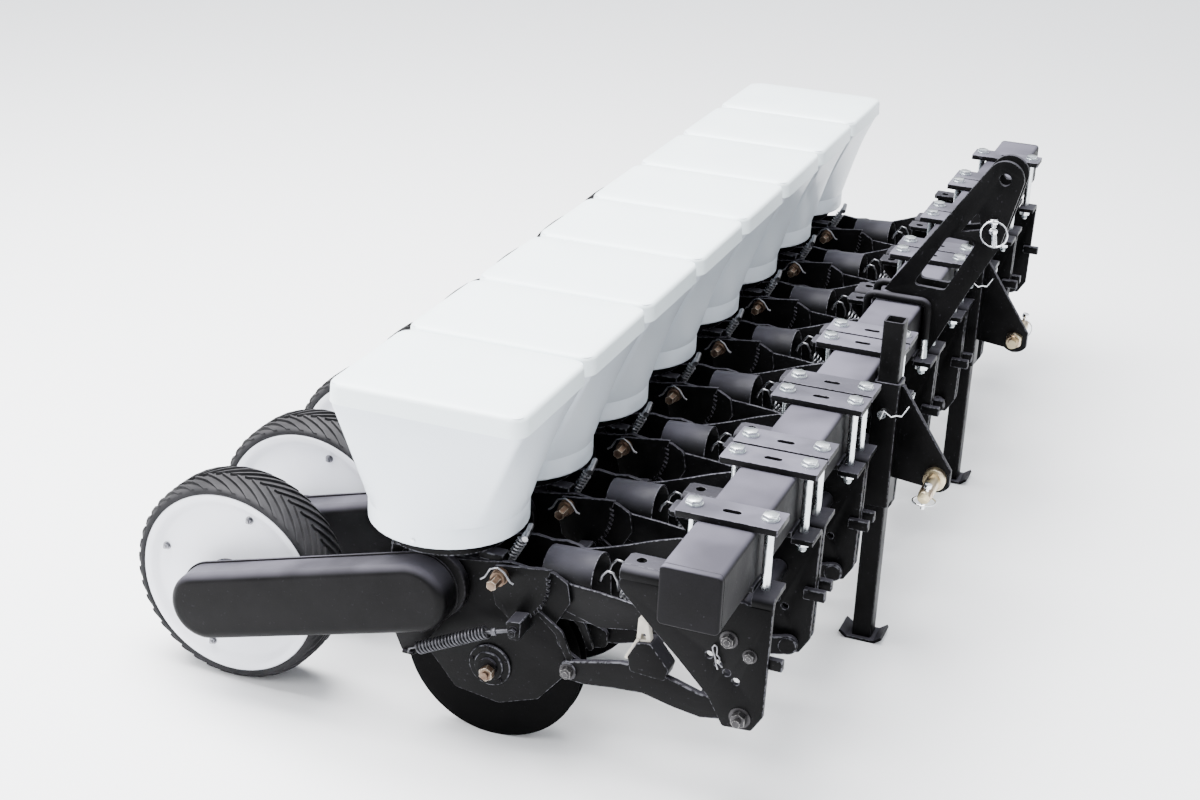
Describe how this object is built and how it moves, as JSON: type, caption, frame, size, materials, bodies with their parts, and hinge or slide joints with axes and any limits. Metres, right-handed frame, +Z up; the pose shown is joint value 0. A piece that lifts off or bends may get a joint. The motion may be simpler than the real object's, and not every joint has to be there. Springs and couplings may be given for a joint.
{
  "type": "row crop planter",
  "caption": "Tractor-mounted seed planter: square toolbar, three-point hitch, parking stands and parallel-link rows, each with a seed hopper, opener discs and a drive wheel.",
  "frame": {"origin": "centre of the bounding box at the ground, midway between the wheels' rear edge and the hitch plates' front edge", "axes": "+X towards the tractor, +Y along the toolbar, +Z up"},
  "size_m": [1.407, 2.725, 0.9088],
  "materials": {
    "bar_paint": "satin grey-black paint",
    "black_paint": "satin black paint",
    "case_paint": "satin black paint with dust",
    "white_hopper": "smooth moulded plastic",
    "white_lid": "smooth moulded plastic",
    "tyre_rubber": "matt rubber"
  },
  "bodies": {
    "frame": {"toolbar": "bar_paint", "mast": "black_paint"},
    "stand_left": {"stand_left": "black_paint"},
    "stand_right": {"stand_right": "black_paint"},
    "lower_link_1": {"lower_link_1": "black_paint"},
    "upper_link_1": {"upper_link_1": "black_paint"},
    "row_1": {"row_frame_1": "black_paint", "hopper_1": "white_hopper"},
    "lid_1": {"lid_1": "white_lid"},
    "wheel_arm_1": {"wheel_arm_1": "case_paint"},
    "wheel_1": {"wheel_1": "tyre_rubber"},
    "lower_link_2": {"lower_link_2": "black_paint"},
    "upper_link_2": {"upper_link_2": "black_paint"},
    "row_2": {"row_frame_2": "black_paint", "hopper_2": "white_hopper"},
    "lid_2": {"lid_2": "white_lid"},
    "wheel_arm_2": {"wheel_arm_2": "case_paint"},
    "wheel_2": {"wheel_2": "tyre_rubber"},
    "lower_link_3": {"lower_link_3": "black_paint"},
    "upper_link_3": {"upper_link_3": "black_paint"},
    "row_3": {"row_frame_3": "black_paint", "hopper_3": "white_hopper"},
    "lid_3": {"lid_3": "white_lid"},
    "wheel_arm_3": {"wheel_arm_3": "case_paint"},
    "wheel_3": {"wheel_3": "tyre_rubber"},
    "lower_link_4": {"lower_link_4": "black_paint"},
    "upper_link_4": {"upper_link_4": "black_paint"},
    "row_4": {"row_frame_4": "black_paint", "hopper_4": "white_hopper"},
    "lid_4": {"lid_4": "white_lid"},
    "wheel_arm_4": {"wheel_arm_4": "case_paint"},
    "wheel_4": {"wheel_4": "tyre_rubber"},
    "lower_link_5": {"lower_link_5": "black_paint"},
    "upper_link_5": {"upper_link_5": "black_paint"},
    "row_5": {"row_frame_5": "black_paint", "hopper_5": "white_hopper"},
    "lid_5": {"lid_5": "white_lid"},
    "wheel_arm_5": {"wheel_arm_5": "case_paint"},
    "wheel_5": {"wheel_5": "tyre_rubber"},
    "lower_link_6": {"lower_link_6": "black_paint"},
    "upper_link_6": {"upper_link_6": "black_paint"},
    "row_6": {"row_frame_6": "black_paint", "hopper_6": "white_hopper"},
    "lid_6": {"lid_6": "white_lid"},
    "wheel_arm_6": {"wheel_arm_6": "case_paint"},
    "wheel_6": {"wheel_6": "tyre_rubber"},
    "lower_link_7": {"lower_link_7": "black_paint"},
    "upper_link_7": {"upper_link_7": "black_paint"},
    "row_7": {"row_frame_7": "black_paint", "hopper_7": "white_hopper"},
    "lid_7": {"lid_7": "white_lid"},
    "wheel_arm_7": {"wheel_arm_7": "case_paint"},
    "wheel_7": {"wheel_7": "tyre_rubber"},
    "lower_link_8": {"lower_link_8": "black_paint"},
    "upper_link_8": {"upper_link_8": "black_paint"},
    "row_8": {"row_frame_8": "black_paint", "hopper_8": "white_hopper"},
    "lid_8": {"lid_8": "white_lid"},
    "wheel_arm_8": {"wheel_arm_8": "case_paint"},
    "wheel_8": {"wheel_8": "tyre_rubber"}
  },
  "joints": [
    {"name": "stand_left_slide", "type": "slide", "parent": "frame", "child": "stand_left", "axis": [0, 0, 1], "range_m": [0, 0.25]},
    {"name": "stand_right_slide", "type": "slide", "parent": "frame", "child": "stand_right", "axis": [0, 0, 1], "range_m": [0, 0.25]},
    {"name": "lower_link_1_lift", "type": "hinge", "parent": "frame", "child": "lower_link_1", "pos_m": [0.5275, -1.05, 0.24], "axis": [0, 1, 0], "range_deg": [-15, 15]},
    {"name": "upper_link_1_lift", "type": "hinge", "parent": "frame", "child": "upper_link_1", "pos_m": [0.4975, -1.05, 0.382], "axis": [0, 1, 0], "range_deg": [-15, 15]},
    {"name": "row_1_level", "type": "hinge", "parent": "lower_link_1", "child": "row_1", "pos_m": [0.1925, -1.05, 0.21], "axis": [0, 1, 0], "range_deg": [-15, 15]},
    {"name": "wheel_arm_1_swing", "type": "hinge", "parent": "row_1", "child": "wheel_arm_1", "pos_m": [-0.0775, -1.05, 0.32], "axis": [0, -1, 0], "range_deg": [0, 16]},
    {"name": "wheel_1_roll", "type": "hinge", "parent": "wheel_arm_1", "child": "wheel_1", "pos_m": [-0.5005, -1.05, 0.203], "axis": [0, 1, 0], "continuous": true},
    {"name": "lid_1_open", "type": "hinge", "parent": "row_1", "child": "lid_1", "pos_m": [-0.2435, -1.05, 0.658], "axis": [0, -1, 0], "range_deg": [0, 100]},
    {"name": "lower_link_2_lift", "type": "hinge", "parent": "frame", "child": "lower_link_2", "pos_m": [0.5275, -0.75, 0.24], "axis": [0, 1, 0], "range_deg": [-15, 15]},
    {"name": "upper_link_2_lift", "type": "hinge", "parent": "frame", "child": "upper_link_2", "pos_m": [0.4975, -0.75, 0.382], "axis": [0, 1, 0], "range_deg": [-15, 15]},
    {"name": "row_2_level", "type": "hinge", "parent": "lower_link_2", "child": "row_2", "pos_m": [0.1925, -0.75, 0.21], "axis": [0, 1, 0], "range_deg": [-15, 15]},
    {"name": "wheel_arm_2_swing", "type": "hinge", "parent": "row_2", "child": "wheel_arm_2", "pos_m": [-0.0775, -0.75, 0.32], "axis": [0, -1, 0], "range_deg": [0, 16]},
    {"name": "wheel_2_roll", "type": "hinge", "parent": "wheel_arm_2", "child": "wheel_2", "pos_m": [-0.5005, -0.75, 0.203], "axis": [0, 1, 0], "continuous": true},
    {"name": "lid_2_open", "type": "hinge", "parent": "row_2", "child": "lid_2", "pos_m": [-0.2435, -0.75, 0.658], "axis": [0, -1, 0], "range_deg": [0, 100]},
    {"name": "lower_link_3_lift", "type": "hinge", "parent": "frame", "child": "lower_link_3", "pos_m": [0.5275, -0.45, 0.24], "axis": [0, 1, 0], "range_deg": [-15, 15]},
    {"name": "upper_link_3_lift", "type": "hinge", "parent": "frame", "child": "upper_link_3", "pos_m": [0.4975, -0.45, 0.382], "axis": [0, 1, 0], "range_deg": [-15, 15]},
    {"name": "row_3_level", "type": "hinge", "parent": "lower_link_3", "child": "row_3", "pos_m": [0.1925, -0.45, 0.21], "axis": [0, 1, 0], "range_deg": [-15, 15]},
    {"name": "wheel_arm_3_swing", "type": "hinge", "parent": "row_3", "child": "wheel_arm_3", "pos_m": [-0.0775, -0.45, 0.32], "axis": [0, -1, 0], "range_deg": [0, 16]},
    {"name": "wheel_3_roll", "type": "hinge", "parent": "wheel_arm_3", "child": "wheel_3", "pos_m": [-0.5005, -0.45, 0.203], "axis": [0, 1, 0], "continuous": true},
    {"name": "lid_3_open", "type": "hinge", "parent": "row_3", "child": "lid_3", "pos_m": [-0.2435, -0.45, 0.658], "axis": [0, -1, 0], "range_deg": [0, 100]},
    {"name": "lower_link_4_lift", "type": "hinge", "parent": "frame", "child": "lower_link_4", "pos_m": [0.5275, -0.15, 0.24], "axis": [0, 1, 0], "range_deg": [-15, 15]},
    {"name": "upper_link_4_lift", "type": "hinge", "parent": "frame", "child": "upper_link_4", "pos_m": [0.4975, -0.15, 0.382], "axis": [0, 1, 0], "range_deg": [-15, 15]},
    {"name": "row_4_level", "type": "hinge", "parent": "lower_link_4", "child": "row_4", "pos_m": [0.1925, -0.15, 0.21], "axis": [0, 1, 0], "range_deg": [-15, 15]},
    {"name": "wheel_arm_4_swing", "type": "hinge", "parent": "row_4", "child": "wheel_arm_4", "pos_m": [-0.0775, -0.15, 0.32], "axis": [0, -1, 0], "range_deg": [0, 16]},
    {"name": "wheel_4_roll", "type": "hinge", "parent": "wheel_arm_4", "child": "wheel_4", "pos_m": [-0.5005, -0.15, 0.203], "axis": [0, 1, 0], "continuous": true},
    {"name": "lid_4_open", "type": "hinge", "parent": "row_4", "child": "lid_4", "pos_m": [-0.2435, -0.15, 0.658], "axis": [0, -1, 0], "range_deg": [0, 100]},
    {"name": "lower_link_5_lift", "type": "hinge", "parent": "frame", "child": "lower_link_5", "pos_m": [0.5275, 0.15, 0.24], "axis": [0, 1, 0], "range_deg": [-15, 15]},
    {"name": "upper_link_5_lift", "type": "hinge", "parent": "frame", "child": "upper_link_5", "pos_m": [0.4975, 0.15, 0.382], "axis": [0, 1, 0], "range_deg": [-15, 15]},
    {"name": "row_5_level", "type": "hinge", "parent": "lower_link_5", "child": "row_5", "pos_m": [0.1925, 0.15, 0.21], "axis": [0, 1, 0], "range_deg": [-15, 15]},
    {"name": "wheel_arm_5_swing", "type": "hinge", "parent": "row_5", "child": "wheel_arm_5", "pos_m": [-0.0775, 0.15, 0.32], "axis": [0, -1, 0], "range_deg": [0, 16]},
    {"name": "wheel_5_roll", "type": "hinge", "parent": "wheel_arm_5", "child": "wheel_5", "pos_m": [-0.5005, 0.15, 0.203], "axis": [0, 1, 0], "continuous": true},
    {"name": "lid_5_open", "type": "hinge", "parent": "row_5", "child": "lid_5", "pos_m": [-0.2435, 0.15, 0.658], "axis": [0, -1, 0], "range_deg": [0, 100]},
    {"name": "lower_link_6_lift", "type": "hinge", "parent": "frame", "child": "lower_link_6", "pos_m": [0.5275, 0.45, 0.24], "axis": [0, 1, 0], "range_deg": [-15, 15]},
    {"name": "upper_link_6_lift", "type": "hinge", "parent": "frame", "child": "upper_link_6", "pos_m": [0.4975, 0.45, 0.382], "axis": [0, 1, 0], "range_deg": [-15, 15]},
    {"name": "row_6_level", "type": "hinge", "parent": "lower_link_6", "child": "row_6", "pos_m": [0.1925, 0.45, 0.21], "axis": [0, 1, 0], "range_deg": [-15, 15]},
    {"name": "wheel_arm_6_swing", "type": "hinge", "parent": "row_6", "child": "wheel_arm_6", "pos_m": [-0.0775, 0.45, 0.32], "axis": [0, -1, 0], "range_deg": [0, 16]},
    {"name": "wheel_6_roll", "type": "hinge", "parent": "wheel_arm_6", "child": "wheel_6", "pos_m": [-0.5005, 0.45, 0.203], "axis": [0, 1, 0], "continuous": true},
    {"name": "lid_6_open", "type": "hinge", "parent": "row_6", "child": "lid_6", "pos_m": [-0.2435, 0.45, 0.658], "axis": [0, -1, 0], "range_deg": [0, 100]},
    {"name": "lower_link_7_lift", "type": "hinge", "parent": "frame", "child": "lower_link_7", "pos_m": [0.5275, 0.75, 0.24], "axis": [0, 1, 0], "range_deg": [-15, 15]},
    {"name": "upper_link_7_lift", "type": "hinge", "parent": "frame", "child": "upper_link_7", "pos_m": [0.4975, 0.75, 0.382], "axis": [0, 1, 0], "range_deg": [-15, 15]},
    {"name": "row_7_level", "type": "hinge", "parent": "lower_link_7", "child": "row_7", "pos_m": [0.1925, 0.75, 0.21], "axis": [0, 1, 0], "range_deg": [-15, 15]},
    {"name": "wheel_arm_7_swing", "type": "hinge", "parent": "row_7", "child": "wheel_arm_7", "pos_m": [-0.0775, 0.75, 0.32], "axis": [0, -1, 0], "range_deg": [0, 16]},
    {"name": "wheel_7_roll", "type": "hinge", "parent": "wheel_arm_7", "child": "wheel_7", "pos_m": [-0.5005, 0.75, 0.203], "axis": [0, 1, 0], "continuous": true},
    {"name": "lid_7_open", "type": "hinge", "parent": "row_7", "child": "lid_7", "pos_m": [-0.2435, 0.75, 0.658], "axis": [0, -1, 0], "range_deg": [0, 100]},
    {"name": "lower_link_8_lift", "type": "hinge", "parent": "frame", "child": "lower_link_8", "pos_m": [0.5275, 1.05, 0.24], "axis": [0, 1, 0], "range_deg": [-15, 15]},
    {"name": "upper_link_8_lift", "type": "hinge", "parent": "frame", "child": "upper_link_8", "pos_m": [0.4975, 1.05, 0.382], "axis": [0, 1, 0], "range_deg": [-15, 15]},
    {"name": "row_8_level", "type": "hinge", "parent": "lower_link_8", "child": "row_8", "pos_m": [0.1925, 1.05, 0.21], "axis": [0, 1, 0], "range_deg": [-15, 15]},
    {"name": "wheel_arm_8_swing", "type": "hinge", "parent": "row_8", "child": "wheel_arm_8", "pos_m": [-0.0775, 1.05, 0.32], "axis": [0, -1, 0], "range_deg": [0, 16]},
    {"name": "wheel_8_roll", "type": "hinge", "parent": "wheel_arm_8", "child": "wheel_8", "pos_m": [-0.5005, 1.05, 0.203], "axis": [0, 1, 0], "continuous": true},
    {"name": "lid_8_open", "type": "hinge", "parent": "row_8", "child": "lid_8", "pos_m": [-0.2435, 1.05, 0.658], "axis": [0, -1, 0], "range_deg": [0, 100]}
  ],
  "couplings": [
    {"joint": "upper_link_1_lift", "follows": "lower_link_1_lift", "ratio": 1},
    {"joint": "row_1_level", "follows": "lower_link_1_lift", "ratio": -1},
    {"joint": "upper_link_2_lift", "follows": "lower_link_2_lift", "ratio": 1},
    {"joint": "row_2_level", "follows": "lower_link_2_lift", "ratio": -1},
    {"joint": "upper_link_3_lift", "follows": "lower_link_3_lift", "ratio": 1},
    {"joint": "row_3_level", "follows": "lower_link_3_lift", "ratio": -1},
    {"joint": "upper_link_4_lift", "follows": "lower_link_4_lift", "ratio": 1},
    {"joint": "row_4_level", "follows": "lower_link_4_lift", "ratio": -1},
    {"joint": "upper_link_5_lift", "follows": "lower_link_5_lift", "ratio": 1},
    {"joint": "row_5_level", "follows": "lower_link_5_lift", "ratio": -1},
    {"joint": "upper_link_6_lift", "follows": "lower_link_6_lift", "ratio": 1},
    {"joint": "row_6_level", "follows": "lower_link_6_lift", "ratio": -1},
    {"joint": "upper_link_7_lift", "follows": "lower_link_7_lift", "ratio": 1},
    {"joint": "row_7_level", "follows": "lower_link_7_lift", "ratio": -1},
    {"joint": "upper_link_8_lift", "follows": "lower_link_8_lift", "ratio": 1},
    {"joint": "row_8_level", "follows": "lower_link_8_lift", "ratio": -1}
  ]
}
